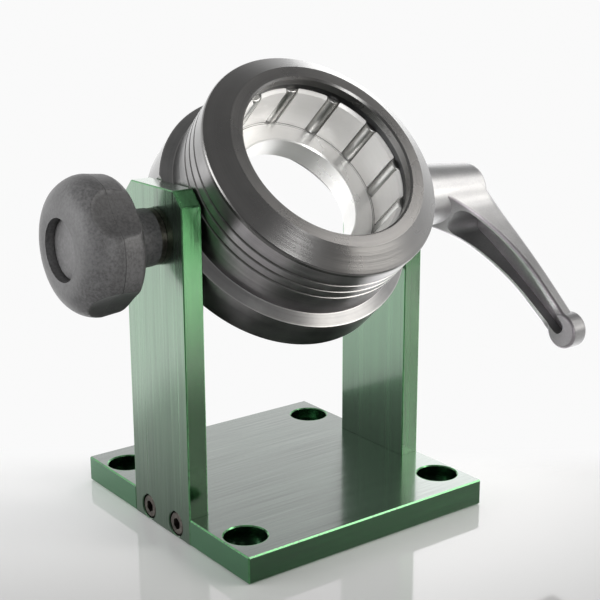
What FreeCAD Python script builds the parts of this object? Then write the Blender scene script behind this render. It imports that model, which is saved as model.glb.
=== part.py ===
import FreeCAD, Part
import math
import os

# Tool holder tightening fixture: a roller clamping head that tilts between two posts on a base plate.
# Millimetres. The origin is the middle of the base plate's underside, +Z is up, +X runs from the
# knob to the lever and -Y faces the user. Head pieces are modelled upright about the head's own
# axis, with the tilting axis at z = 0, and are then tilted forwards into place.

Vec = FreeCAD.Vector

# Clearances
face_clearance = 0.1
turning_clearance = 0.05
seat_clearance = 0.02

# Clamping set inside the head, from the tool holder outwards
seat_bore_radius = 24.4
seat_thickness = 10.25
seat_land_height = 0.3
seat_land_clearance = 0.3
seat_bore_chamfer = 0.5
roller_ring_bore_radius = 32.0
roller_ring_wall = 8.0
roller_ring_height = 19.5
roller_ring_chamfer = 1.0
retaining_ring_width = 6.7

# Clamping head, turned profile
head_wall = 5.6
head_tilt_from_vertical = 48.0
flange_rise = 4.4
flange_width = 13.5
flange_bevel_height = 2.0
rear_lip_width = 4.0
rear_recess_depth = 11.75
head_flat_allowance = 0.1
groove_first_height = 20.0
groove_pitch = 4.0
groove_count = 3
groove_width = 1.1
groove_depth = 0.7
turned_edge_break = 0.4

# Front cap
cap_overhang = 0.3
cap_joint_height = 34.2
cap_land_height = 1.2
cap_rim_bevel_height = 0.6
cap_rim_bevel_width = 0.3
cap_front_height = 41.0
cap_face_width = 5.0
cap_bore_allowance = 0.8
cap_bore_chamfer = 0.7
cap_skirt_wall = 2.4
cap_skirt_length = 4.0
cap_lip_thickness = 3.7

# Rollers and the pockets that hold them
roller_count = 12
roller_radius = 3.0
roller_proud = 0.4
roller_end_clearance = 0.2
roller_end_round = 0.6
roller_first_angle = 23.5
pocket_clearance = 0.4
pocket_back_shift = 0.3
pocket_mouth_width = 5.0

# Posts
post_width = 38.5
post_thickness = 8.0
post_above_pivot = 18.0
post_corner_chamfer = 5.2
post_edge_break = 0.3
side_clearance = 0.4

# Base plate
base_depth = 112.0
base_thickness = 10.0
base_edge_break = 0.5
notch_clearance = 0.1
pivot_height = 110.0
bench_hole_inset_x = 9.1
bench_hole_inset_y = 15.0
bench_hole_radius = 4.5
bench_counterbore_radius = 7.7
bench_counterbore_depth = 6.0
bench_counterbore_chamfer = 0.4

# Screws that hold the posts
post_screw_spacing = 19.0
post_screw_radius = 2.5
post_screw_length = 16.0
post_screw_hole_radius = 2.8
post_screw_head_radius = 4.25
post_screw_head_height = 5.0
post_screw_socket_width = 4.0
post_screw_socket_depth = 2.6
post_counterbore_radius = 4.6
post_counterbore_depth = 5.4
post_counterbore_chamfer = 0.35

# Studs and washers on the tilting axis
stud_radius = 4.0
stud_grip = 7.4
stud_point_chamfer = 0.8
stud_hole_extra_depth = 0.6
stud_in_knob = 14.0
stud_in_insert = 8.0
washer_radius = 10.0
knob_washer_thickness = 2.0
lever_washer_thickness = 1.5

# Lobed clamping knob, heights measured outwards from its hub face
knob_height = 33.2
knob_radius = 24.3
knob_hub_radius = 10.2
knob_hub_draft = 0.5
knob_hub_length = 11.5
knob_back_inset = 2.8
knob_back_dish = 1.2
knob_back_dish_width = 2.0
knob_skirt_height = 15.6
knob_skirt_draft = 0.7
knob_parting_height = 22.0
knob_dome_width = 11.2
knob_scallop_count = 4
knob_scallop_angle = 37.5
knob_scallop_radius = 38.0
knob_scallop_depth = 3.0
knob_scallop_round = 0.8
knob_recess_radius = 10.9
knob_recess_depth = 5.0
knob_cap_radius = 10.6
knob_cap_thickness = 1.9

# Adjustable clamping lever, heights measured outwards from the right post's face
lever_angle_below_front = 40.6
lever_length = 74.0
lever_hub_base_radius = 13.6
lever_hub_top_radius = 10.9
lever_hub_height = 46.0
lever_hub_round = 5.0
lever_arm_root = 3.0
lever_arm_waist = 26.0
lever_arm_root_half_width = 10.6
lever_arm_flare_angle = 12.0
lever_arm_taper_angle = 2.5
lever_underside_root = 10.5
lever_underside_angles = (64.3, 21.5, 1.5)
lever_underside_root_radius = 50.5
lever_underside_tip_radius = 70.5
lever_crown_root = 42.9
lever_crown_angles = (10.0, 0.3)
lever_crown_radius = 330.0
lever_arm_edge_round = 1.2
lever_crown_edge_round = 4.0
lever_boss_radius = 7.0
lever_boss_top = 48.0
lever_boss_thickness = 7.6
lever_boss_edge_round = 1.2
lever_pocket_rim = 1.5
lever_pocket_taper_angle = 3.8
lever_pocket_roof = 2.6
lever_pocket_start = 13.2
lever_pocket_corner_round = 4.0
lever_pocket_end_inset = 2.4
lever_neck_top = 27.0
lever_recess_radius = 6.0

# Toothed insert and retaining screw inside the lever
insert_collar_radius = 9.5
insert_collar_height = 4.0
insert_tooth_count = 24
insert_tooth_root_radius = 6.9
insert_tooth_height = 0.8
insert_tooth_length = 4.3
insert_neck_radius = 4.6
insert_neck_top = 36.0
tooth_clearance = 0.2
neck_clearance = 0.1
retaining_screw_radius = 2.5
retaining_screw_length = 9.0
retaining_screw_head_radius = 5.5
retaining_screw_head_height = 4.2
retaining_screw_socket_width = 4.0
retaining_screw_socket_depth = 2.2

# Places that follow from the sizes above
pack_radius = roller_ring_bore_radius + roller_ring_wall
head_radius = pack_radius + head_wall
flange_radius = head_radius + flange_rise
rear_recess_radius = pack_radius - rear_lip_width
cap_radius = head_radius + cap_overhang
cap_bore_radius = roller_ring_bore_radius + cap_bore_allowance
cap_face_radius = cap_bore_radius + cap_face_width
cap_skirt_radius = pack_radius + cap_skirt_wall
retaining_ring_radius = pack_radius - retaining_ring_width
head_half_width = head_radius + head_flat_allowance
post_inner_x = head_half_width + side_clearance
post_outer_x = post_inner_x + post_thickness
post_height = pivot_height + post_above_pivot
flange_half = flange_width / 2
pack_floor = rear_recess_depth - flange_half
ledge_height = pack_floor + seat_thickness
ring_base_height = ledge_height - seat_land_height
ring_top_height = ring_base_height + roller_ring_height
lip_floor_height = cap_front_height - cap_lip_thickness
roller_centre_radius = roller_ring_bore_radius - roller_proud + roller_radius
knob_hub_x = post_outer_x + knob_washer_thickness + 2 * face_clearance
lever_hub_x = post_outer_x + lever_washer_thickness + 2 * face_clearance
insert_collar_top = lever_washer_thickness + 2 * face_clearance + insert_collar_height
insert_tooth_top = insert_collar_top + insert_tooth_length
lever_bottom_height = insert_collar_top + face_clearance


def outline(start, steps):
    """Closed wire in the XZ plane. A step is (x, z), or (via, end) for an arc through via."""
    edges = []
    here = start
    for step in list(steps) + [start]:
        if isinstance(step[0], tuple):
            via, end = step
            arc = Part.Arc(Vec(here[0], 0, here[1]), Vec(via[0], 0, via[1]), Vec(end[0], 0, end[1]))
            edges.append(arc.toShape())
        else:
            end = step
            if math.dist(here, end) > 1e-7:
                edges.append(Part.LineSegment(Vec(here[0], 0, here[1]), Vec(end[0], 0, end[1])).toShape())
        here = end
    return Part.Wire(edges)


def turned(start, steps):
    return Part.Face(outline(start, steps)).revolve(Vec(0, 0, 0), Vec(0, 0, 1), 360)


def rod(radius, low, high, chamfer=0.0):
    """Round bar along Z, with a chamfer at its top end."""
    steps = [(radius, low), (radius, high - chamfer), (radius - chamfer, high), (0, high)]
    return turned((0, low), steps)


def ring(inner, outer, low, high):
    return turned((inner, low), [(outer, low), (outer, high), (inner, high)])


def box(x_range, y_range, z_range):
    size = [high - low for low, high in (x_range, y_range, z_range)]
    return Part.makeBox(*size, Vec(x_range[0], y_range[0], z_range[0]))


def socket(width, low, high):
    """Hexagonal prism along Z for a key of the given width."""
    corner = width / math.sqrt(3)
    points = [Vec(corner * math.cos(math.radians(60 * k)), corner * math.sin(math.radians(60 * k)), low)
              for k in range(7)]
    return Part.Face(Part.makePolygon(points)).extrude(Vec(0, 0, high - low))


def around_z(shape, angle):
    copy = shape.copy()
    copy.rotate(Vec(0, 0, 0), Vec(0, 0, 1), angle)
    return copy


def placed(shape, position, x_axis, y_axis, z_axis):
    copy = shape.copy()
    copy.Placement = FreeCAD.Placement(position, FreeCAD.Rotation(x_axis, y_axis, z_axis, "ZXY")) * copy.Placement
    return copy


def on_left(shape, x):
    """Puts a piece modelled along +Z on the tilting axis, pointing out of the left side."""
    return placed(shape, Vec(-x, 0, pivot_height), Vec(0, 0, 1), Vec(0, 1, 0), Vec(-1, 0, 0))


def on_right(shape, x, angle_below_front=0.0):
    """Puts a piece modelled along +Z on the tilting axis, pointing out of the right side."""
    c = math.cos(math.radians(angle_below_front))
    s = math.sin(math.radians(angle_below_front))
    return placed(shape, Vec(x, 0, pivot_height), Vec(0, -c, -s), Vec(0, s, -c), Vec(1, 0, 0))


def in_head(shape):
    copy = shape.copy()
    tilt = FreeCAD.Rotation(Vec(1, 0, 0), head_tilt_from_vertical)
    copy.Placement = FreeCAD.Placement(Vec(0, 0, pivot_height), tilt) * copy.Placement
    return copy


# Base plate and posts


def post_screw_places():
    return [(side, y) for side in (-1, 1) for y in (-post_screw_spacing / 2, post_screw_spacing / 2)]


def along_x(shape, side, y, z):
    """Puts a piece modelled along +Z so that it points out of the left (-1) or right (1) side."""
    if side < 0:
        return placed(shape, Vec(-post_outer_x, y, z), Vec(0, 0, 1), Vec(0, 1, 0), Vec(-1, 0, 0))
    return placed(shape, Vec(post_outer_x, y, z), Vec(0, -1, 0), Vec(0, 0, -1), Vec(1, 0, 0))


def bench_hole():
    low = base_thickness - bench_counterbore_depth
    rim = bench_counterbore_radius + bench_counterbore_chamfer
    return turned((0, -1), [(bench_hole_radius, -1), (bench_hole_radius, low), (bench_counterbore_radius, low),
                            (bench_counterbore_radius, base_thickness - bench_counterbore_chamfer),
                            (rim, base_thickness), (rim, base_thickness + 1), (0, base_thickness + 1)])


def base_plate():
    half_depth = base_depth / 2
    plate = box((-post_outer_x, post_outer_x), (-half_depth, half_depth), (0, base_thickness))
    plate = plate.makeChamfer(base_edge_break, plate.Edges)
    notch_half = post_width / 2 + notch_clearance
    for side in (-1, 1):
        xs = sorted((side * (post_inner_x - notch_clearance), side * (post_outer_x + 1)))
        plate = plate.cut(box(xs, (-notch_half, notch_half), (-1, base_thickness + 1)))
    for x in (-1, 1):
        for y in (-1, 1):
            hole = bench_hole()
            hole.translate(Vec(x * (post_outer_x - bench_hole_inset_x), y * (half_depth - bench_hole_inset_y), 0))
            plate = plate.cut(hole)
    tapped_depth = post_counterbore_depth + post_screw_length + 1
    for side, y in post_screw_places():
        hole = rod(post_screw_radius + seat_clearance, -tapped_depth, 1)
        plate = plate.cut(along_x(hole, side, y, base_thickness / 2))
    return plate


def post(side):
    half = post_width / 2
    xs = sorted((side * post_inner_x, side * post_outer_x))
    blank = box(xs, (-half, half), (0, post_height))
    corners = [e for e in blank.Edges
               if abs(e.CenterOfMass.z - post_height) < 1e-6 and abs(abs(e.CenterOfMass.y) - half) < 1e-6]
    blank = blank.makeChamfer(post_corner_chamfer, corners)
    blank = blank.makeChamfer(post_edge_break, blank.Edges)
    rim = post_counterbore_radius + post_counterbore_chamfer
    floor = -post_counterbore_depth
    screw_hole = turned((0, -post_thickness - 1),
                        [(post_screw_hole_radius, -post_thickness - 1), (post_screw_hole_radius, floor),
                         (post_counterbore_radius, floor), (post_counterbore_radius, -post_counterbore_chamfer),
                         (rim, 0), (rim, 1), (0, 1)])
    for hole_side, y in post_screw_places():
        if hole_side == side:
            blank = blank.cut(along_x(screw_hole, side, y, base_thickness / 2))
    pivot_hole = rod(stud_radius + turning_clearance, -post_thickness - 1, 1)
    return blank.cut(along_x(pivot_hole, side, 0, pivot_height))


def socket_screw(radius, length, head_radius, head_height, socket_width, socket_depth):
    """Cap screw along Z with its head's underside at z = 0 and its thread pointing down."""
    edge = 0.4
    body = turned((0, -length),
                  [(radius - edge, -length), (radius, edge - length), (radius, 0), (head_radius, 0),
                   (head_radius, head_height - edge), (head_radius - edge, head_height), (0, head_height)])
    return body.cut(socket(socket_width, head_height - socket_depth, head_height + 1))


def post_screws(side):
    screw = socket_screw(post_screw_radius, post_screw_length, post_screw_head_radius,
                         post_screw_head_height, post_screw_socket_width, post_screw_socket_depth)
    screw.translate(Vec(0, 0, -post_counterbore_depth))
    return Part.makeCompound([along_x(screw, s, y, base_thickness / 2)
                              for s, y in post_screw_places() if s == side])


# Clamping head


def head_body():
    edge = turned_edge_break
    steps = [(flange_radius - edge, -flange_half), (flange_radius, edge - flange_half),
             (flange_radius, flange_half), (head_radius, flange_half + flange_bevel_height)]
    for k in range(groove_count):
        z = groove_first_height + k * groove_pitch
        steps += [(head_radius, z - groove_width / 2), (head_radius - groove_depth, z - groove_width / 4),
                  (head_radius - groove_depth, z + groove_width / 4), (head_radius, z + groove_width / 2)]
    skirt_floor = cap_joint_height - cap_skirt_length
    steps += [(head_radius, cap_joint_height), (cap_skirt_radius, cap_joint_height),
              (cap_skirt_radius, skirt_floor), (pack_radius, skirt_floor), (pack_radius, pack_floor),
              (rear_recess_radius, pack_floor), (rear_recess_radius, edge - flange_half)]
    body = turned((rear_recess_radius + edge, -flange_half), steps)
    reach = flange_radius + 1
    for side in (-1, 1):
        xs = sorted((side * head_half_width, side * reach))
        body = body.cut(box(xs, (-reach, reach), (-reach, reach)))
    hole_depth = stud_grip + stud_hole_extra_depth
    hole = rod(stud_radius + turning_clearance, 0, hole_depth + 1)
    for side in (-1, 1):
        start = side * (head_half_width + 1)
        bore = placed(hole, Vec(start, 0, 0), Vec(0, 0, side), Vec(0, 1, 0), Vec(-side, 0, 0))
        body = body.cut(bore)
    return in_head(body)


def front_cap():
    rim_z = cap_joint_height + cap_land_height
    outer = cap_skirt_radius - seat_clearance
    inner = pack_radius + face_clearance
    skirt_floor = cap_joint_height - cap_skirt_length + face_clearance
    return in_head(turned(
        (cap_bore_radius, lip_floor_height),
        [(cap_bore_radius, cap_front_height - cap_bore_chamfer), (cap_bore_radius + cap_bore_chamfer, cap_front_height),
         (cap_face_radius, cap_front_height), (cap_radius - cap_rim_bevel_width, rim_z + cap_rim_bevel_height),
         (cap_radius, rim_z), (cap_radius, cap_joint_height), (outer, cap_joint_height), (outer, skirt_floor),
         (inner, skirt_floor), (inner, lip_floor_height)]))


def seat_ring():
    c = seat_bore_chamfer
    outer = pack_radius - seat_clearance
    land = roller_centre_radius - roller_radius - seat_land_clearance
    return in_head(turned(
        (seat_bore_radius + c, pack_floor),
        [(outer, pack_floor), (outer, ring_base_height), (land, ring_base_height), (land, ledge_height),
         (seat_bore_radius + c, ledge_height), (seat_bore_radius, ledge_height - c),
         (seat_bore_radius, pack_floor + c)]))


def roller_ring():
    c = roller_ring_chamfer
    outer = pack_radius - seat_clearance
    blank = turned((roller_ring_bore_radius, ring_base_height),
                   [(outer, ring_base_height), (outer, ring_top_height),
                    (roller_ring_bore_radius + c, ring_top_height), (roller_ring_bore_radius, ring_top_height - c)])
    low, high = ring_base_height - 1, ring_top_height + 1
    pocket = rod(roller_radius + pocket_clearance, low, high)
    pocket.translate(Vec(roller_centre_radius + pocket_back_shift, 0, 0))
    half_mouth = pocket_mouth_width / 2
    mouth = box((seat_bore_radius, roller_centre_radius), (-half_mouth, half_mouth), (low, high))
    pocket = pocket.fuse(mouth)
    for k in range(roller_count):
        blank = blank.cut(around_z(pocket, roller_first_angle + k * 360 / roller_count))
    return in_head(blank)


def roller(index):
    c = roller_end_round
    low = ring_base_height + roller_end_clearance
    high = ring_top_height - roller_end_clearance
    r = roller_radius
    d = c * (1 - math.sqrt(0.5))
    pin = turned((0, low), [(r - c, low), ((r - d, low + d), (r, low + c)), (r, high - c),
                            ((r - d, high - d), (r - c, high)), (0, high)])
    pin.translate(Vec(roller_centre_radius, 0, 0))
    return in_head(around_z(pin, roller_first_angle + index * 360 / roller_count))


def retaining_ring():
    return in_head(ring(retaining_ring_radius, pack_radius - seat_clearance, ring_top_height,
                        lip_floor_height - seat_clearance))


# Knob side


def washer(thickness):
    return ring(stud_radius + turning_clearance, washer_radius, 0, thickness)


def knob_washer():
    return on_left(washer(knob_washer_thickness), post_outer_x + face_clearance)


def knob():
    dome_radius = knob_radius - knob_dome_width
    lean = math.sqrt(0.5)
    dome_height = knob_height - knob_parting_height
    dome_via = (dome_radius + knob_dome_width * lean, knob_parting_height + dome_height * lean)
    recess_floor = knob_height - knob_recess_depth
    hub_radius = knob_hub_radius + knob_hub_draft
    back_radius = knob_radius - knob_back_inset
    back_height = knob_hub_length + knob_back_dish
    skirt_radius = knob_radius - knob_skirt_draft
    skirt_rise = knob_skirt_height - back_height
    skirt_via = (back_radius - knob_back_dish_width + (skirt_radius - back_radius + knob_back_dish_width) * lean,
                 knob_skirt_height - skirt_rise * lean)
    body = turned(
        (0, 0),
        [(knob_hub_radius, 0), (hub_radius, knob_hub_length), (back_radius - knob_back_dish_width, back_height),
         (skirt_via, (skirt_radius, knob_skirt_height)), (knob_radius, knob_parting_height),
         (dome_via, (dome_radius, knob_height)), (knob_recess_radius, knob_height),
         (knob_recess_radius, recess_floor), (0, recess_floor)])
    distance = knob_radius - knob_scallop_depth + knob_scallop_radius
    cutter = rod(knob_scallop_radius, knob_hub_length / 2, knob_height + 1)
    cutter.translate(Vec(distance, 0, 0))
    for k in range(knob_scallop_count):
        body = body.cut(around_z(cutter, knob_scallop_angle + k * 360 / knob_scallop_count))
    rims = [e for e in body.Edges if on_scallop(e, distance)]
    body = body.makeFillet(knob_scallop_round, rims)
    body = body.cut(rod(stud_radius + seat_clearance, -1, stud_in_knob + seat_clearance))
    return on_left(body, knob_hub_x)


def on_scallop(edge, distance):
    """True for an edge whose middle lies on the wall of one of the knob's scallops."""
    first, last = edge.ParameterRange
    middle = edge.valueAt((first + last) / 2)
    for k in range(knob_scallop_count):
        angle = math.radians(knob_scallop_angle + k * 360 / knob_scallop_count)
        away = math.hypot(middle.x - distance * math.cos(angle), middle.y - distance * math.sin(angle))
        if abs(away - knob_scallop_radius) < 1e-3:
            return True
    return False


def knob_cap():
    edge = 0.3
    floor = knob_height - knob_recess_depth
    top = floor + knob_cap_thickness
    return on_left(turned((0, floor), [(knob_cap_radius, floor), (knob_cap_radius, top - edge),
                                       (knob_cap_radius - edge, top), (0, top)]), knob_hub_x)


def stud(inside, stack):
    """Threaded stud along Z from inside its handle (z below 0) to the tapped hole in the head."""
    reach = stack + post_thickness + side_clearance + stud_grip
    return rod(stud_radius, -inside, reach, stud_point_chamfer)


def knob_stud():
    # The stud points into the head, so it is turned end for end about the knob's hub face.
    blank = stud(stud_in_knob, knob_washer_thickness + 2 * face_clearance)
    return placed(blank, Vec(-knob_hub_x, 0, pivot_height), Vec(0, 0, 1), Vec(0, -1, 0), Vec(1, 0, 0))


# Lever side


def lever_washer():
    return on_right(washer(lever_washer_thickness), post_outer_x + face_clearance)


def toothed(root, tip, low, high):
    """Prism along Z with evenly pitched pointed teeth."""
    points = []
    for k in range(2 * insert_tooth_count):
        radius = tip if k % 2 else root
        angle = math.pi * k / insert_tooth_count
        points.append(Vec(radius * math.cos(angle), radius * math.sin(angle), low))
    return Part.Face(Part.makePolygon(points + points[:1])).extrude(Vec(0, 0, high - low))


def lever_insert():
    low = lever_hub_x - post_outer_x
    body = rod(insert_collar_radius, low, insert_collar_top, turned_edge_break)
    tooth_tip = insert_tooth_root_radius + insert_tooth_height
    body = body.fuse(toothed(insert_tooth_root_radius, tooth_tip, insert_collar_top, insert_tooth_top))
    body = body.fuse(rod(insert_neck_radius, insert_collar_top, insert_neck_top, turned_edge_break))
    body = body.cut(rod(stud_radius + seat_clearance, low - 1, low + stud_in_insert + seat_clearance))
    screw_floor = insert_neck_top - retaining_screw_length - seat_clearance
    body = body.cut(rod(retaining_screw_radius + seat_clearance, screw_floor, insert_neck_top + 1))
    return on_right(body, post_outer_x, lever_angle_below_front)


def lever_stud():
    blank = stud(stud_in_insert, lever_washer_thickness + 2 * face_clearance)
    return placed(blank, Vec(lever_hub_x, 0, pivot_height), Vec(0, 0, 1), Vec(0, 1, 0), Vec(-1, 0, 0))


def lever_screw():
    screw = socket_screw(retaining_screw_radius, retaining_screw_length, retaining_screw_head_radius,
                         retaining_screw_head_height, retaining_screw_socket_width, retaining_screw_socket_depth)
    screw.translate(Vec(0, 0, insert_neck_top))
    return on_right(screw, post_outer_x)


def bend(start, radius, first, last):
    """Arc from start between two headings in degrees, as (via, end). A negative radius turns left."""
    a, b = math.radians(first), math.radians(last)

    def point(heading):
        return (start[0] + radius * (math.sin(a) - math.sin(heading)),
                start[1] + radius * (math.cos(heading) - math.cos(a)))

    return point((a + b) / 2), point(b)


def level_with(start, heading, x):
    """Point at distance x on the straight line that leaves start at a heading."""
    return x, start[1] + (x - start[0]) * math.tan(math.radians(heading))


def arm_plan(rim, taper, end_x):
    """Arm seen from outside: flared at the hub, tapered beyond its waist, drawn in by the rim."""
    root = (lever_arm_root, lever_arm_root_half_width - rim)
    turn = math.sin(math.radians(lever_arm_flare_angle)) - math.sin(math.radians(taper))
    radius = (lever_arm_waist - lever_arm_root) / turn
    via, waist = bend(root, -radius, -lever_arm_flare_angle, -taper)
    tip = level_with(waist, -taper, end_x)

    def mirrored(point):
        return point[0], -point[1]

    wire = outline(root, [(via, waist), tip, ((end_x + tip[1], 0), mirrored(tip)), mirrored(waist),
                          (mirrored(via), mirrored(root))])
    wire.rotate(Vec(0, 0, 0), Vec(1, 0, 0), -90)
    return Part.Face(wire)


def arm_profile(drop, roof):
    """Arm seen from the front, between its swept underside and its crown."""
    reach = lever_length + lever_boss_radius
    first, second, third = lever_underside_angles
    root = (lever_arm_root, lever_underside_root - drop)
    sweep = bend(root, lever_underside_root_radius, first, second)
    foot = bend(sweep[1], lever_underside_tip_radius, second, third)
    shoulder = (lever_arm_root, lever_crown_root - roof)
    crown = bend(shoulder, lever_crown_radius, *lever_crown_angles)
    return Part.Face(outline(root, [sweep, foot, level_with(foot[1], third, reach),
                                    level_with(crown[1], lever_crown_angles[1], reach), crown[1],
                                    (crown[0], shoulder)]))


def through_arm(profile):
    """Prism of the arm's profile across the widest part of the lever."""
    half = 2 * lever_hub_base_radius
    moved = profile.copy()
    moved.translate(Vec(0, -half, 0))
    return moved.extrude(Vec(0, 2 * half, 0))


def lever_arm():
    plan = arm_plan(0, lever_arm_taper_angle, lever_length)
    arm = plan.extrude(Vec(0, 0, 2 * lever_hub_height)).common(through_arm(arm_profile(0, 0))).Solids[0]

    def long_edges(solid, on_crown):
        return [e for e in solid.Edges
                if e.BoundBox.XLength > lever_boss_radius and (e.CenterOfMass.z > lever_crown_root) == on_crown]

    arm = arm.makeFillet(lever_arm_edge_round, long_edges(arm, False))
    return arm.makeFillet(lever_crown_edge_round, long_edges(arm, True))


def lever_pocket():
    plan = arm_plan(lever_pocket_rim, lever_pocket_taper_angle, lever_length - lever_pocket_end_inset)
    prism = plan.extrude(Vec(0, 0, 2 * lever_hub_height)).cut(rod(lever_pocket_start, -1, 3 * lever_hub_height))
    hub_end = [e for e in prism.Edges
               if e.BoundBox.ZLength > lever_hub_height and e.CenterOfMass.x < lever_pocket_start]
    prism = prism.makeFillet(lever_pocket_corner_round, hub_end)
    return prism.common(through_arm(arm_profile(2 * lever_boss_thickness, lever_pocket_roof)))


def lever_boss():
    edge = lever_boss_edge_round
    lean = edge * (1 - math.sqrt(0.5))
    r = lever_boss_radius
    top = lever_boss_top
    low = top - lever_boss_thickness
    boss = turned((0, low), [(r - edge, low), ((r - lean, low + lean), (r, low + edge)), (r, top - edge),
                             ((r - lean, top - lean), (r - edge, top)), (0, top)])
    boss.translate(Vec(lever_length, 0, 0))
    return boss


def lever_handle():
    low = lever_bottom_height
    top = lever_hub_height
    r = lever_hub_round
    lean = r * (1 - math.sqrt(0.5))
    hub = turned((0, low), [(lever_hub_base_radius, low), (lever_hub_top_radius, top - r),
                            ((lever_hub_top_radius - lean, top - lean), (lever_hub_top_radius - r, top)), (0, top)])
    body = hub.fuse([lever_arm(), lever_boss()]).cut(lever_pocket())
    tooth_root = insert_tooth_root_radius + tooth_clearance
    socket_top = insert_tooth_top + face_clearance
    body = body.cut(toothed(tooth_root, tooth_root + insert_tooth_height, low - 1, socket_top))
    body = body.cut(rod(insert_neck_radius + neck_clearance, low, lever_neck_top + 1))
    body = body.cut(rod(lever_recess_radius, lever_neck_top, top + 1))
    return on_right(body, post_outer_x, lever_angle_below_front)


def export(name, shape):
    if not shape.isValid():
        print("not valid:", name)
    print("%-20s solids %d  volume %.0f" % (name, len(shape.Solids), shape.Volume))
    shape.exportStep("parts/%s.step" % name)


def main():
    os.makedirs("parts", exist_ok=True)
    export("base_plate", base_plate())
    export("left_post", post(-1))
    export("right_post", post(1))
    export("left_post_screws", post_screws(-1))
    export("right_post_screws", post_screws(1))
    export("head_body", head_body())
    export("front_cap", front_cap())
    export("retaining_ring", retaining_ring())
    export("roller_ring", roller_ring())
    export("seat_ring", seat_ring())
    for k in range(roller_count):
        export("roller_%02d" % (k + 1), roller(k))
    export("knob_washer", knob_washer())
    export("knob", knob())
    export("knob_cap", knob_cap())
    export("knob_stud", knob_stud())
    export("lever_washer", lever_washer())
    export("lever_handle", lever_handle())
    export("lever_insert", lever_insert())
    export("lever_stud", lever_stud())
    export("lever_screw", lever_screw())


main()
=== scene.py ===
import math
import bpy
import bmesh
from mathutils import Matrix, Vector


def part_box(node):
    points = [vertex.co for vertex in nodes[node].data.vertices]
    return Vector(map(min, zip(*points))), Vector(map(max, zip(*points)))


# Tool holder tightening fixture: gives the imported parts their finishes,
# then sets the floor, light and camera.
# Lengths are in metres, in the same frame as the parts.

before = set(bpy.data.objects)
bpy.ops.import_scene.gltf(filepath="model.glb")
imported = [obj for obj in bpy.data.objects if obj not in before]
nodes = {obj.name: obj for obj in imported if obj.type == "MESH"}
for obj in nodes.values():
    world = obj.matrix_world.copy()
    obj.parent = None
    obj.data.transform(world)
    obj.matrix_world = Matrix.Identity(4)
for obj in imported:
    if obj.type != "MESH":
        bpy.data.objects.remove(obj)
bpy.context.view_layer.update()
print("frame loaded,", len(nodes), "parts")

pivot = (0, 0, 0.110)
headTilt = math.radians(48)
headAxis = (0, -math.sin(headTilt), math.cos(headTilt))
facing = (0.5, 0.8)     # share of a normal along an axis, from where a face looks that way


class Value:
    # a socket that sums and products can be written with
    def __init__(self, finish, socket):
        self.finish = finish
        self.socket = socket

    def maths(self, operation, *others):
        values = dict(enumerate((self,) + others))
        return self.finish.node("ShaderNodeMath", {"operation": operation}, values)

    def __add__(self, other):
        return self.maths("ADD", other)

    def __mul__(self, other):
        return self.maths("MULTIPLY", other)

    def __sub__(self, other):
        return self.maths("SUBTRACT", other)

    def __rsub__(self, other):
        return self.maths("MULTIPLY_ADD", -1.0, other)

    def __abs__(self):
        return self.maths("ABSOLUTE")

    __radd__ = __add__
    __rmul__ = __mul__

    def root(self):
        return self.maths("SQRT")

    def atLeast(self, other):
        return self.maths("MAXIMUM", other)

    def atMost(self, other):
        return self.maths("MINIMUM", other)

    def swing(self, amount):
        # noise around its middle
        return (self - 0.5) * amount

    def rise(self, low, high):
        # 0 below low, 1 above high, smooth between
        return self.finish.node("ShaderNodeMapRange", {"interpolation_type": "SMOOTHSTEP"},
                                {"Value": self, "From Min": low, "From Max": high}, "Result")

    def near(self, centre, halfWidth, soft):
        return 1 - abs(self - centre).rise(halfWidth, halfWidth + soft)


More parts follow.
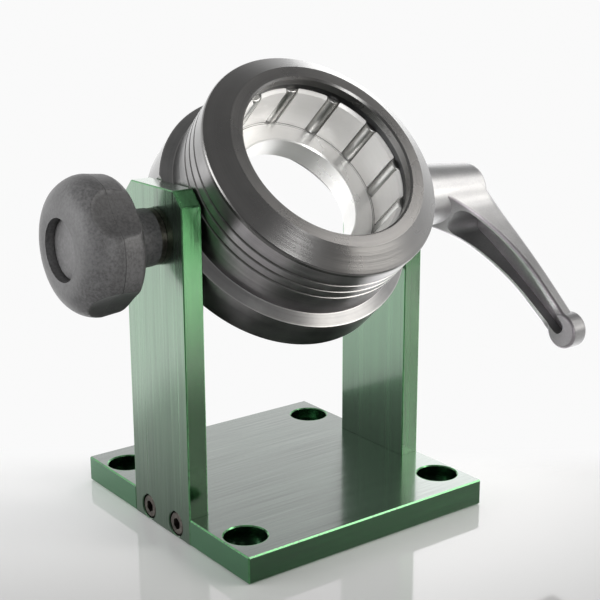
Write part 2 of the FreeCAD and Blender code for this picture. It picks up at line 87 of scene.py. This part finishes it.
class Finish:
    # one material, built node by node
    def __init__(self, name, world=None):
        if world is None:
            self.material = bpy.data.materials.new(name)
        else:
            self.material = world
        self.material.use_nodes = True
        self.tree = self.material.node_tree
        self.tree.nodes.clear()

    def node(self, kind, settings=None, values=None, out=0):
        made = self.tree.nodes.new(kind)
        for key, setting in (settings or {}).items():
            setattr(made, key, setting)
        for key, value in (values or {}).items():
            if isinstance(value, Value):
                self.tree.links.new(value.socket, made.inputs[key])
            elif hasattr(value, "__len__") and len(made.inputs[key].default_value) == 4:
                made.inputs[key].default_value = (*value[:3], 1)
            else:
                made.inputs[key].default_value = value
        return Value(self, made.outputs[out]) if len(made.outputs) else None

    def place(self, out="Object"):
        return self.node("ShaderNodeTexCoord", None, None, out)

    def seenFrom(self, origin, turn):
        # Object coordinates in a piece's own frame
        return self.node("ShaderNodeMapping", {"vector_type": "TEXTURE"},
                         {"Vector": self.place(), "Location": origin, "Rotation": turn})

    def split(self, vector):
        made = self.node("ShaderNodeSeparateXYZ", None, {0: vector})
        return [Value(self, made.socket.node.outputs[i]) for i in range(3)]

    def joined(self, x, y, z):
        return self.node("ShaderNodeCombineXYZ", None, {0: x, 1: y, 2: z})

    def vector(self, operation, *others):
        return self.node("ShaderNodeVectorMath", {"operation": operation}, dict(enumerate(others)))

    def noise(self, vector, scale, detail=2.0, roughness=0.5):
        return self.node("ShaderNodeTexNoise", {"noise_dimensions": "3D"},
                         {"Vector": vector, "Scale": scale, "Detail": detail, "Roughness": roughness},
                         "Fac")

    def mix(self, factor, first, second):
        return self.node("ShaderNodeMix", {"data_type": "RGBA"}, {0: factor, 6: first, 7: second}, 2)

    def scaled(self, vector, amount):
        return self.node("ShaderNodeVectorMath", {"operation": "SCALE"}, {0: vector, "Scale": amount})

    def bump(self, height, strength, distance, normal=None):
        values = {"Height": height, "Strength": strength, "Distance": distance}
        if normal is not None:
            values["Normal"] = normal
        return self.node("ShaderNodeBump", None, values, "Normal")

    def combed(self, grain, slope):
        # tips the normal across the grain, which gives brushed and turned metal its streak
        normal = self.place("Normal")
        across = self.vector("CROSS_PRODUCT", normal, grain)
        return self.toWorld(self.vector("ADD", normal, self.scaled(across, slope)))

    def toWorld(self, normal):
        return self.node("ShaderNodeVectorTransform",
                         {"vector_type": "NORMAL", "convert_from": "OBJECT", "convert_to": "WORLD"},
                         {0: self.vector("NORMALIZE", normal)})

    def surface(self, **values):
        named = {key.replace("_", " "): value for key, value in values.items()}
        shader = self.node("ShaderNodeBsdfPrincipled", None, named)
        self.node("ShaderNodeOutputMaterial", None, {"Surface": shader})
        return self.material


def dress(material, *names):
    for name in names:
        for slot in nodes[name].material_slots:
            slot.material = material


# Green anodised aluminium, brushed

greenLook = {
    "colour": (0.030, 0.110, 0.038),
    "paleColour": (0.058, 0.185, 0.070),
    "edgeHighlightColour": (0.10, 0.28, 0.12),
    "roughness": 0.26,
    "bandRoughness": 0.12,
    "lineScales": (2600.0, 22.0),       # across and along the grain
    "bandScales": (240.0, 3.0),
    "cloudScale": 28.0,
    "toneShares": (0.35, 0.45, 0.35),
    "toneRange": (0.38, 0.82),
    "streakSlope": 0.30,
    "bandSlope": 0.06,
    "coatRoughness": 0.12,
    "coatIor": 1.7,
    "edgeWidth": 0.0006,
    "edgeFull": 0.6,
    "edgeFlags": (1.2, 1.8),
    "edgeCoatCut": 0.8,
    "breakupScale": 900.0,
    "breakupRange": (0.2, 0.55),
}
plateLook = dict(greenLook, colour=(0.020, 0.040, 0.026), paleColour=(0.040, 0.074, 0.050),
                 roughness=0.24)
plateSideLook = {"front": (0.009, 0.046, 0.015), "side": (0.058, 0.180, 0.086), "coat": 0.30}
plateHoles = {"x": 0.045, "y": 0.041, "rim": 0.0079, "halfWidth": 0.00025, "soft": 0.0002}
postShade = {
    "left": {"front": (0.38, 5.4), "side": (0.60, 1.00)},
    "right": {"front": (0.80, 1.55), "side": (0.42, 1.0)},
    "leftInner": 0.45,
    "sideSheenColour": (0.085, 0.125, 0.105),
    "sideSheenShare": 0.35,
    "frontRise": (0.045, 0.15),
    "sideRise": (-0.005, 0.075),
    "cornerCut": 0.0052,
    "cutFull": 0.4,
}


def plateFaceShade(paint, place, colour):
    # painted shade: each face of the plate gets its own colour by the way it faces, a dark grey-green top
    # under a full coat that mirrors the pale room, and sides under a thin coat, the front and back darker
    # than the ends
    look = plateSideLook
    x, y, z = paint.split(paint.place("Normal"))
    sides = paint.mix(abs(y).rise(*facing), look["side"], look["front"])
    top = z.rise(*facing)
    return paint.mix(top, sides, colour), look["coat"] + top * (1 - look["coat"])


def postHeightShade(side):
    def paintedShade(paint, place, colour):
        # painted shade and light: each post's colour is scaled by height and by the way its faces look,
        # darker towards the foot, brighter than the plain colour towards the top of the front faces, and
        # darker on the left post's inner face; the coat follows the same scale
        z = paint.split(place)[2]
        normal = paint.split(paint.place("Normal"))
        front = abs(normal[1]).rise(*facing)
        frontLow, frontHigh = postShade[side]["front"]
        sideLow, sideHigh = postShade[side]["side"]
        onFront = frontLow + z.rise(*postShade["frontRise"]) * (frontHigh - frontLow)
        onSide = sideLow + z.rise(*postShade["sideRise"]) * (sideHigh - sideLow)
        light = onSide + front * (onFront - onSide)
        if side == "left":
            light = light * (1 - normal[0].rise(*facing) * (1 - postShade["leftInner"]))
        # painted sheen: the side faces are mixed towards a greyer green
        colour = paint.mix((1 - front) * postShade["sideSheenShare"], colour, postShade["sideSheenColour"])
        return paint.scaled(colour, light), light.atMost(1.0)
    return paintedShade


def brushedGreen(name, look, grain, edges, paintedShade):
    paint = Finish(name)
    place = paint.place()
    lineScales = [look["lineScales"][g] for g in grain]
    bandScales = [look["bandScales"][g] for g in grain]
    lines = paint.noise(paint.vector("MULTIPLY", place, lineScales), 1.0, 2.0)
    bands = paint.noise(paint.vector("MULTIPLY", place, bandScales), 1.0, 3.0)
    clouds = paint.noise(place, look["cloudScale"], 3.0)
    lineShare, bandShare, cloudShare = look["toneShares"]
    tone = (lines * lineShare + bands * bandShare + clouds * cloudShare).rise(*look["toneRange"])
    colour = paint.mix(tone, look["colour"], look["paleColour"])
    colour, coat = paintedShade(paint, place, colour)
    # painted highlight: the edges and hole rims get a paler green, broken up by noise, and less coat
    patches = edges(paint, place)
    colour = paint.mix(patches, colour, look["edgeHighlightColour"])
    coat = coat * (1 - patches * look["edgeCoatCut"])
    slope = lines.swing(look["streakSlope"]) + bands.swing(look["bandSlope"])
    return paint.surface(Base_Color=colour, Metallic=1.0,
                         Roughness=look["roughness"] + bands.swing(look["bandRoughness"]),
                         Normal=paint.combed(grain, slope), Coat_Weight=coat,
                         Coat_Roughness=look["coatRoughness"], Coat_IOR=look["coatIor"])


def closeTo(edge, value, full=greenLook["edgeFull"]):
    width = greenLook["edgeWidth"]
    return value.rise(edge - width, edge - width * full)


# noise that breaks up the painted edge highlight
def highlightBreakup(paint, place):
    return paint.noise(place, greenLook["breakupScale"], 2.0).rise(*greenLook["breakupRange"])


# mask of the painted edge highlight on the plate
def plateEdges(paint, place):
    # an edge is where two of the outer faces are close
    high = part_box("base_plate")[1]
    x, y, z = paint.split(place)
    flags = (closeTo(high.x, abs(x)) + closeTo(high.y, abs(y))
             + closeTo(high.z / 2, abs(z - high.z / 2)))
    rimX = abs(x) - plateHoles["x"]
    rimY = abs(y) - plateHoles["y"]
    rim = (rimX * rimX + rimY * rimY).root()
    rim = rim.near(plateHoles["rim"], plateHoles["halfWidth"], plateHoles["soft"])
    rim = rim * closeTo(high.z, z, 0.5)
    return (flags.rise(*greenLook["edgeFlags"]) + rim).atMost(1.0) * highlightBreakup(paint, place)


# mask of the painted edge highlight on a post
def postEdges(side):
    def edges(paint, place):
        low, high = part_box(side + "_post")
        x, y, z = paint.split(place)
        middle = (low.x + high.x) / 2
        halfWide = (high.x - low.x) / 2
        cut = high.y + high.z - postShade["cornerCut"]
        flags = (closeTo(halfWide, abs(x - middle)) + closeTo(high.y, abs(y)) + closeTo(high.z, z)
                 + closeTo(cut, abs(y) + z, postShade["cutFull"]))
        return flags.rise(*greenLook["edgeFlags"]) * highlightBreakup(paint, place)
    return edges


print("green plates")
dress(brushedGreen("green_plate", plateLook, (1, 0, 0), plateEdges, plateFaceShade), "base_plate")
for side in ("left", "right"):
    dress(brushedGreen("green_" + side + "_post", greenLook, (0, 0, 1), postEdges(side), postHeightShade(side)),
          side + "_post")


# Turned steel of the clamping head

# painted highlight: a paler grey along the groove lips, the flange edges and the cap's rim and joint
lipHighlightLook = {
    "colour": (0.27, 0.266, 0.262),
    "halfWidth": 0.00010,
    "soft": 0.00012,
    "bevelShare": 0.6,
    "rimShare": 0.6,
    "jointShare": 0.4,
}
drumShape = {
    "grooveFirst": 0.020,
    "groovePitch": 0.004,
    "grooveHalf": 0.00055,
    "grooveReach": 1.4,
    "grooveSoft": 0.0001,
    "flangeHalf": 0.00675,
    "bevel": 0.002,
    "radius": 0.0452,
    "radiusSoft": 0.0003,
    "capJoint": 0.0342,
    "capRim": 0.0356,
}
turnedLook = {
    "wideScale": 260.0,
    "toneShares": (0.3, 0.3, 0.5),
    "toneRange": (0.35, 0.75),
    "spotRoughness": 0.12,
    "coatRoughness": 0.2,
    "underRange": (-0.3, 0.3),
    "seamColour": (0.05, 0.05, 0.05),
    "seamShare": 0.8,
    "seamLevel": (0.00010, 0.00008),
    "seamRound": (0.00014, 0.00010),
}


def headLipHighlights(radius, z):
    shape = drumShape
    line = lipHighlightLook["halfWidth"], lipHighlightLook["soft"]
    pitch = shape["groovePitch"]
    step = (z - shape["grooveFirst"] + pitch / 2).maths("FLOORED_MODULO", pitch)
    grooves = abs(step - pitch / 2).near(shape["grooveHalf"], *line)
    grooves = grooves * z.near(shape["grooveFirst"] + pitch, pitch * shape["grooveReach"],
                               shape["grooveSoft"])
    flange = (abs(z).near(shape["flangeHalf"], *line)
              + z.near(shape["flangeHalf"] + shape["bevel"], *line) * lipHighlightLook["bevelShare"])
    return (grooves + flange) * radius.rise(shape["radius"] - shape["radiusSoft"], shape["radius"])


def capLipHighlights(radius, z):
    line = lipHighlightLook["halfWidth"], lipHighlightLook["soft"]
    return (z.near(drumShape["capRim"], *line) * lipHighlightLook["rimShare"]
            + z.near(drumShape["capJoint"], *line) * lipHighlightLook["jointShare"])


def turnedSteel(name, look, lipHighlights=None):
    shared = turnedLook
    paint = Finish(name)
    own = paint.seenFrom(pivot, (headTilt, 0, 0))
    x, y, z = paint.split(own)
    radius = (x * x + y * y).root()
    lines = paint.noise(paint.joined(radius * look["ringScale"], z * look["ringScale"], 0.0), 1.0, 2.0)
    wide = paint.noise(paint.joined(radius * shared["wideScale"], z * shared["wideScale"], 0.0), 1.0, 2.0)
    spots = paint.noise(own, look["spotScale"], 4.0, 0.6)
    lineShare, wideShare, spotShare = shared["toneShares"]
    tone = (lines * lineShare + wide * wideShare + spots * spotShare).rise(*shared["toneRange"])
    colour = paint.mix(tone, look["colour"], look["paleColour"])
    if "seam" in look:
        seam = (z.near(look["seam"], *shared["seamLevel"])
                + radius.near(look["seamRadius"], *shared["seamRound"]))
        colour = paint.mix(seam.atMost(1.0) * shared["seamShare"], colour, shared["seamColour"])
    if "under" in look:
        # painted light: downward faces get up to twice their colour, as if lit by the floor, and a tint
        # that takes off the green the plate reflects onto them
        upward = paint.split(paint.place("Normal"))[2].rise(*shared["underRange"])
        colour = paint.scaled(colour, look["under"] + upward * (1 - look["under"]))
        colour = paint.mix(upward, paint.vector("MULTIPLY", colour, look["underTint"]), colour)
    # painted highlight along the lips
    if lipHighlights is not None:
        colour = paint.mix(lipHighlights(radius, z).atMost(1.0), colour, lipHighlightLook["colour"])
    outward = paint.vector("SUBTRACT", paint.place(), pivot)
    grain = paint.vector("NORMALIZE", paint.vector("CROSS_PRODUCT", headAxis, outward))
    slope = lines.swing(look["streakSlope"]) + wide.swing(look["wideSlope"])
    return paint.surface(Base_Color=colour, Metallic=look["metal"],
                         Roughness=look["roughness"] + spots.swing(shared["spotRoughness"]),
                         Normal=paint.combed(grain, slope), Coat_Weight=look["oil"],
                         Coat_Roughness=shared["coatRoughness"])


headLook = {
    "colour": (0.130, 0.130, 0.130),
    "paleColour": (0.205, 0.203, 0.200),
    "metal": 1.0,
    "roughness": 0.30,
    "oil": 0.35,
    "ringScale": 4200.0,
    "spotScale": 90.0,
    "streakSlope": 0.32,
    "wideSlope": 0.05,
    "under": 2.0,
    "underTint": (1.04, 0.99, 1.03),
}
capLook = {
    "colour": (0.120, 0.118, 0.116),
    "paleColour": (0.158, 0.155, 0.151),
    "metal": 1.0,
    "roughness": 0.28,
    "oil": 0.25,
    "ringScale": 4200.0,
    "spotScale": 34.0,
    "streakSlope": 0.20,
    "wideSlope": 0.012,
}
darkRingLook = {
    "colour": (0.030, 0.030, 0.031),
    "paleColour": (0.055, 0.055, 0.056),
    "metal": 1.0,
    "roughness": 0.32,
    "oil": 0.2,
    "ringScale": 4200.0,
    "spotScale": 120.0,
    "streakSlope": 0.28,
    "wideSlope": 0.04,
}
seatLook = {
    "colour": (0.86, 0.855, 0.84),
    "paleColour": (0.95, 0.945, 0.93),
    "metal": 0.5,
    "roughness": 0.28,
    "oil": 0.0,
    "ringScale": 5200.0,
    "spotScale": 60.0,
    "streakSlope": 0.14,
    "wideSlope": 0.03,
    "seam": 0.0,
    "seamRadius": 0.0315,
}
rollerRingLook = {
    "colour": (0.92, 0.91, 0.89),
    "paleColour": (0.98, 0.97, 0.955),
    "metal": 0.12,
    "roughness": 0.36,
    "oil": 0.0,
    "ringScale": 5200.0,
    "spotScale": 60.0,
    "streakSlope": 0.16,
    "wideSlope": 0.03,
    "seam": 0.0154,
    "seamRadius": 0.0,
}

print("head")
dress(turnedSteel("black_steel", headLook, headLipHighlights), "head_body")
dress(turnedSteel("cap_steel", capLook, capLipHighlights), "front_cap")
dress(turnedSteel("dark_ring", darkRingLook), "retaining_ring")
dress(turnedSteel("seat_steel", seatLook), "seat_ring")
dress(turnedSteel("ring_steel", rollerRingLook), "roller_ring")


# Rollers, ground and polished

rollerLook = {
    "colour": (0.50, 0.50, 0.485),
    "wornShade": 0.9,
    "wornScale": 260.0,
    "wornRange": (0.35, 0.7),
    "roughness": 0.34,
    "wornRoughness": 0.08,
    "markScales": (300.0, 300.0, 3000.0),
    "markSlope": 0.06,
    "count": 12,
}


def polishedRoller():
    look = rollerLook
    paint = Finish("roller_steel")
    own = paint.seenFrom(pivot, (headTilt, 0, 0))
    marks = [axis * scale for axis, scale in zip(paint.split(own), look["markScales"])]
    marks = paint.noise(paint.joined(*marks), 1.0, 2.0)
    patches = paint.noise(own, look["wornScale"], 3.0)
    wornColour = [c * look["wornShade"] for c in look["colour"]]
    colour = paint.mix(patches.rise(*look["wornRange"]), wornColour, look["colour"])
    grain = paint.vector("NORMALIZE", paint.vector("CROSS_PRODUCT", paint.place("Normal"), headAxis))
    return paint.surface(Base_Color=colour, Metallic=1.0,
                         Roughness=look["roughness"] + patches.swing(look["wornRoughness"]),
                         Normal=paint.combed(grain, marks.swing(look["markSlope"])))


dress(polishedRoller(), *["roller_%02d" % (k + 1) for k in range(rollerLook["count"])])


# Charcoal plastic of the knob and its cap

plasticLook = {
    "shadeLineColour": (0.012, 0.012, 0.012),
    "grainScale": 1000.0,
    "pebbleScale": 450.0,
    "pebbleSmoothness": 0.6,
    "flowScale": 60.0,
    "toneRange": (0.36, 0.76),
    "grainRoughness": 0.25,
    "grainStrength": 0.6,
    "grainHeight": 0.00012,
    "specular": 0.45,
}
knobLook = dict(plasticLook, **{
    "colour": (0.044, 0.043, 0.044),
    "paleColour": (0.110, 0.109, 0.110),
    "roughness": 0.48,
    "seamX": -0.0783,
    "seamHalfWidth": 0.00010,
    "seamShare": 0.75,
    "seamDepth": 2.0,
    "scallopSeam": 0.8,
    "domeRadius": 0.0112,
    "domeCentre": 0.0131,
    "draft": 0.045,
    "scallopDepth": (0.0002, 0.0012),
    "scallopFrom": (0.0130, 0.0145),
    "scallopShade": 0.60,
    "domeFrom": (0.15, 0.55),
    "domeTo": (0.80, 0.97),
    "domeGain": 0.30,
})
capPlasticLook = dict(plasticLook, **{
    "colour": (0.092, 0.090, 0.092),
    "paleColour": (0.190, 0.188, 0.190),
    "roughness": 0.42,
    "ring": (0.0102, 0.00012, 0.0001),
})


def mouldedPlastic(name, look):
    paint = Finish(name)
    place = paint.place()
    grain = paint.noise(place, look["grainScale"], 2.0, 0.6)
    pebbles = paint.node("ShaderNodeTexVoronoi", {"feature": "SMOOTH_F1"},
                         {"Vector": place, "Scale": look["pebbleScale"],
                          "Smoothness": look["pebbleSmoothness"]}, "Distance")
    flow = paint.noise(place, look["flowScale"], 3.0)
    tone = (grain * 0.6 + flow * 0.5).rise(*look["toneRange"])
    colour = paint.mix(tone, look["colour"], look["paleColour"])
    height = grain * 0.6 + pebbles * 0.5
    x, y, z = paint.split(place)
    across = z - pivot[2]
    radius = (y * y + across * across).root()
    if "ring" in look:
        # painted shade: a dark line near the cap's edge, as the shade of the gap to its recess
        colour = paint.mix(radius.near(*look["ring"]), colour, look["shadeLineColour"])
    else:
        # full is the radius that the knob would have without its four scallops
        past = look["seamX"] - x
        onDome = past.atLeast(0.0)
        onSkirt = (0 - past).atLeast(0.0)
        full = (look["domeRadius"] ** 2 - onDome * onDome).atLeast(0.0).root()
        full = full + look["domeCentre"] - onSkirt * look["draft"]
        # painted shade in the scallops, and painted light on the dome's outward faces
        scallop = (full - radius).rise(*look["scallopDepth"]) * radius.rise(*look["scallopFrom"])
        outward = 0 - paint.split(paint.place("Normal"))[0]
        domeLight = outward.rise(*look["domeFrom"]) * (1 - outward.rise(*look["domeTo"])) * (1 - scallop)
        light = 1 - scallop * (1 - look["scallopShade"]) + domeLight * look["domeGain"]
        colour = paint.scaled(colour, light)
        # the parting seam is bumped in, and painted dark as its shade
        line = x.near(look["seamX"], look["seamHalfWidth"], look["seamHalfWidth"])
        line = line * (1 - scallop * look["scallopSeam"])
        colour = paint.mix(line * look["seamShare"], colour, look["shadeLineColour"])
        height = height - line * look["seamDepth"]
    return paint.surface(Base_Color=colour,
                         Roughness=look["roughness"] + grain.swing(look["grainRoughness"]),
                         Normal=paint.bump(height, look["grainStrength"], look["grainHeight"]),
                         Specular_IOR_Level=look["specular"])


print("knob")
dress(mouldedPlastic("knob_plastic", knobLook), "knob")
dress(mouldedPlastic("knob_cap_plastic", capPlasticLook), "knob_cap")


# Satin silver of the cast lever

leverLook = {
    "fall": 40.6,
    "colour": (0.33, 0.33, 0.332),
    "paleColour": (0.43, 0.43, 0.432),
    "innerTint": (1.03, 0.955, 1.01),
    "innerRange": (0.1, 0.6),
    "armShade": 0.46,
    "armRange": (0.012, 0.044),
    "upperRange": (0.3, 0.8),
    "upwardShade": 0.66,
    "upwardRange": (0.55, 0.98),
    "hollowGain": 2.3,
    "hollowRange": (0.010, 0.020),
    "tipGain": 0.90,
    "tipRange": (0.064, 0.068),
    "hubBlend": (0.007, 0.017),
    "endRange": (0.25, 0.6),
    "metal": 0.8,
    "roughness": 0.42,
    "softRoughness": 0.15,
    "coat": 0.3,
    "coatRoughness": 0.25,
    "castScale": 1500.0,
    "softScale": 140.0,
    "washScale": 35.0,
    "toneRange": (0.35, 0.7),
    "castStrength": 0.5,
    "castHeight": 0.00004,
}


def castLever():
    look = leverLook
    paint = Finish("lever_metal")
    place = paint.place()
    cast = paint.noise(place, look["castScale"], 3.0, 0.6)
    soft = paint.noise(place, look["softScale"], 3.0)
    wash = paint.noise(place, look["washScale"], 2.0)
    tone = (cast * 0.3 + soft * 0.3 + wash * 0.4).rise(*look["toneRange"])
    colour = paint.mix(tone, look["colour"], look["paleColour"])
    # painted shade and light: beyond the hub the arm's upper side is darkened, its hollow is brightened as
    # if it kept the light of the floor, and the hub's upward faces are darkened
    x, y, z = paint.split(place)
    normal = paint.split(paint.place("Normal"))
    forward, down = math.cos(math.radians(look["fall"])), math.sin(math.radians(look["fall"]))
    along = y * -forward - (z - pivot[2]) * down
    beyond = along.rise(*look["armRange"])
    upper = (normal[2] * forward - normal[1] * down).rise(*look["upperRange"])
    hollowLight = look["hollowGain"] - along.rise(*look["tipRange"]) * (look["hollowGain"] - look["tipGain"])
    upward = normal[2].rise(*look["upwardRange"])
    light = 1 + beyond * upper * (look["armShade"] - 1)
    light = light + along.rise(*look["hollowRange"]) * (1 - upper) * (hollowLight - 1)
    light = light * (1 - upward * (1 - look["upwardShade"]) * (1 - beyond))
    colour = paint.scaled(colour, light)
    # painted reflection: the faces towards the posts are tinted to take off the green they mirror
    inner = (0 - normal[0]).rise(*look["innerRange"])
    colour = paint.mix(inner, colour, paint.vector("MULTIPLY", colour, look["innerTint"]))
    # the hub runs into the arm's sides without a crease
    radial = paint.vector("NORMALIZE", paint.joined(0.0, y, z - pivot[2]))
    blend = (1 - along.rise(*look["hubBlend"])) * (1 - abs(normal[0]).rise(*look["endRange"]))
    smooth = paint.node("ShaderNodeMix", {"data_type": "VECTOR"},
                        {0: blend, 4: paint.place("Normal"), 5: radial}, 1)
    return paint.surface(Base_Color=colour, Metallic=look["metal"],
                         Roughness=look["roughness"] + soft.swing(look["softRoughness"]),
                         Normal=paint.bump(cast * 0.5 + soft, look["castStrength"], look["castHeight"],
                                           paint.toWorld(smooth)),
                         Coat_Weight=look["coat"], Coat_Roughness=look["coatRoughness"])


print("lever")
dress(castLever(), "lever_handle")


# Washers, studs and screws

fittingLook = {
    "lineScale": 3000.0,
    "toneRange": (0.35, 0.7),
    "spotRoughness": 0.16,
    "strength": 0.4,
}
zincLook = dict(fittingLook, **{
    "colour": (0.36, 0.36, 0.35),
    "paleColour": (0.50, 0.50, 0.48),
    "roughness": 0.32,
    "spotScale": 400.0,
    "height": 0.00003,
})
blackScrewLook = dict(fittingLook, **{
    "colour": (0.055, 0.048, 0.042),
    "paleColour": (0.16, 0.14, 0.125),
    "roughness": 0.38,
    "spotScale": 500.0,
    "height": 0.00004,
})


def plainMetal(name, look):
    paint = Finish(name)
    place = paint.place()
    x, y, z = paint.split(place)
    across = z - pivot[2]
    radius = (y * y + across * across).root()
    lines = paint.noise(paint.joined(x * look["lineScale"], radius * look["lineScale"], 0.0), 1.0, 2.0)
    spots = paint.noise(place, look["spotScale"], 3.0, 0.6)
    tone = (lines * 0.4 + spots * 0.6).rise(*look["toneRange"])
    return paint.surface(Base_Color=paint.mix(tone, look["colour"], look["paleColour"]), Metallic=1.0,
                         Roughness=look["roughness"] + spots.swing(look["spotRoughness"]),
                         Normal=paint.bump(lines * 0.5 + spots, look["strength"], look["height"]))


print("fittings")
dress(plainMetal("zinc_steel", zincLook), "knob_stud", "lever_washer", "lever_insert", "lever_stud")
dress(plainMetal("fastener_steel", blackScrewLook), "left_post_screws", "right_post_screws", "lever_screw",
      "knob_washer")


# Floor, light and camera

viewFlat = Vector((0.6007, 0.7995))
floorLook = {
    "halfSize": 1.6,
    "gap": 0.0002,
    "farFrontColour": (0.16, 0.16, 0.16),
    "frontColour": (0.47, 0.47, 0.47),
    "backColour": (0.93, 0.93, 0.93),
    "farFront": (-0.30, -0.08),
    "frontToBack": (-0.13, 0.02),
    "rightShade": 0.64,
    "rightRange": (0.0, 0.20),
    "roughness": 0.06,
    "specular": 0.5,
    "white": 0.955,
    "mirroredGain": 0.9,
    "whiteBehind": (0.012, 0.044),
    "greyFrom": (-0.50, -0.30),
}


def paleFloor():
    look = floorLook
    mesh = bpy.data.meshes.new("floor")
    shape = bmesh.new()
    bmesh.ops.create_grid(shape, x_segments=8, y_segments=8, size=look["halfSize"])
    bmesh.ops.translate(shape, verts=shape.verts, vec=(0, 0, -look["gap"]))
    shape.to_mesh(mesh)
    shape.free()
    floor = bpy.data.objects.new("floor", mesh)
    bpy.context.scene.collection.objects.link(floor)
    paint = Finish("pale_floor")
    x, y, z = paint.split(paint.place())
    along = x * viewFlat.x + y * viewFlat.y
    across = x * viewFlat.y - y * viewFlat.x
    rays = paint.node("ShaderNodeLightPath").socket.node
    inView = Value(paint, rays.outputs["Is Camera Ray"])
    mirrored = Value(paint, rays.outputs["Is Glossy Ray"])
    through = Value(paint, rays.outputs["Is Transmission Ray"])
    # painted shade: the floor is darker towards the front and to the right of the view, and what metal
    # mirrors of it is darker still far in front
    colour = paint.mix(along.rise(*look["frontToBack"]), look["frontColour"], look["backColour"])
    colour = paint.mix(along.rise(*look["farFront"]).atLeast(inView), look["farFrontColour"], colour)
    colour = paint.scaled(colour, 1 - across.rise(*look["rightRange"]) * look["rightShade"])
    gloss = paint.node("ShaderNodeBsdfPrincipled", None,
                       {"Base Color": colour, "Roughness": look["roughness"],
                        "Specular IOR Level": look["specular"]})
    # behind the part the floor glows white, and to the eye far in front too; in what metal mirrors it
    # glows brighter still, a painted reflection
    bright = paint.node("ShaderNodeEmission", None,
                        {"Color": [look["white"]] * 3, "Strength": 1.0 + mirrored * look["mirroredGain"]})
    beyond = along.rise(*look["whiteBehind"]).atLeast(inView * (1 - along.rise(*look["greyFrom"])))
    seen = (inView + through + mirrored).atMost(1.0)
    shader = paint.node("ShaderNodeMixShader", None, {0: beyond * seen, 1: gloss, 2: bright})
    paint.node("ShaderNodeOutputMaterial", None, {"Surface": shader})
    floor.data.materials.append(paint.material)


skyLook = {
    "backdrop": 0.955,
    "behind": 1.4,
    "front": 0.28,
    "frontToBehind": (-0.65, 0.25),
    "ceiling": 0.42,
    "ceilingFrom": (0.35, 0.75),
}


def studioSky():
    look = skyLook
    world = bpy.data.worlds.new("studio")
    bpy.context.scene.world = world
    sky = Finish("studio", world)
    x, y, z = sky.split(sky.place("Generated"))
    along = x * viewFlat.x + y * viewFlat.y
    level = look["front"] + along.rise(*look["frontToBehind"]) * (look["behind"] - look["front"])
    level = level + z.rise(*look["ceilingFrom"]) * (look["ceiling"] - level)
    rays = sky.node("ShaderNodeLightPath").socket.node
    seen = Value(sky, rays.outputs["Is Camera Ray"])
    strength = level + seen * (look["backdrop"] - level)
    glow = sky.node("ShaderNodeBackground", None, {"Color": (1, 1, 1), "Strength": strength})
    sky.node("ShaderNodeOutputWorld", None, {"Surface": glow})


lampLook = {
    "left_softbox": {"place": (-0.85, 0.35, 0.22), "target": (0, 0, 0.09), "size": (0.6, 0.7),
                     "power": 6.5, "colour": (1, 1, 1)},
    "right_softbox": {"place": (0.62, -0.80, 0.33), "target": (0, 0, 0.10), "size": (0.55, 0.36),
                      "power": 3.8, "colour": (1.0, 0.97, 0.93)},
    "corner_softbox": {"place": (0.50, -0.40, 0.59), "target": (0, 0, 0.11), "size": (0.28, 0.28),
                       "power": 1.4, "colour": (1.0, 0.97, 0.94)},
    "fill_softbox": {"place": (-0.28, -0.90, 0.22), "target": (0, 0, 0.12), "size": (0.3, 0.3),
                     "power": 2.6, "colour": (1, 1, 1)},
    "rear_softbox": {"place": (0.75, 0.50, 0.40), "target": (0, 0, 0.10), "size": (0.4, 0.3),
                     "power": 0.7, "colour": (1, 1, 1)},
}


def softLamp(name, look):
    light = bpy.data.lights.new(name, "AREA")
    light.color = look["colour"]
    light.shape = "RECTANGLE"
    light.size, light.size_y = look["size"]
    light.energy = look["power"]
    lamp = bpy.data.objects.new(name, light)
    lamp.location = look["place"]
    lamp.visible_camera = False
    aim = Vector(look["target"]) - Vector(look["place"])
    lamp.rotation_euler = aim.to_track_quat("-Z", "Y").to_euler()
    bpy.context.scene.collection.objects.link(lamp)


cameraLook = {
    "place": (-0.27138, -0.37414, 0.20455),
    "direction": (0.5794, 0.7712, -0.2639),
    "roll": -0.17,
    "lens": 76.03,
    "sensor": 36,
    "clip": (0.01, 20),
}


def photoCamera():
    look = cameraLook
    data = bpy.data.cameras.new("camera")
    data.sensor_width = look["sensor"]
    data.lens = look["lens"]
    data.clip_start, data.clip_end = look["clip"]
    camera = bpy.data.objects.new("camera", data)
    forward = Vector(look["direction"]).normalized()
    right = forward.cross(Vector((0, 0, 1))).normalized()
    up = right.cross(forward)
    c, s = math.cos(math.radians(look["roll"])), math.sin(math.radians(look["roll"]))
    rightRolled, upRolled = c * right + s * up, -s * right + c * up
    turn = Matrix((rightRolled, upRolled, -forward)).transposed().to_4x4()
    camera.matrix_world = Matrix.Translation(look["place"]) @ turn
    bpy.context.scene.collection.objects.link(camera)
    bpy.context.scene.camera = camera


print("floor, light and camera")
paleFloor()
studioSky()
for name, look in lampLook.items():
    softLamp(name, look)
photoCamera()
bpy.context.scene.view_settings.view_transform = "Standard"

print("finished")
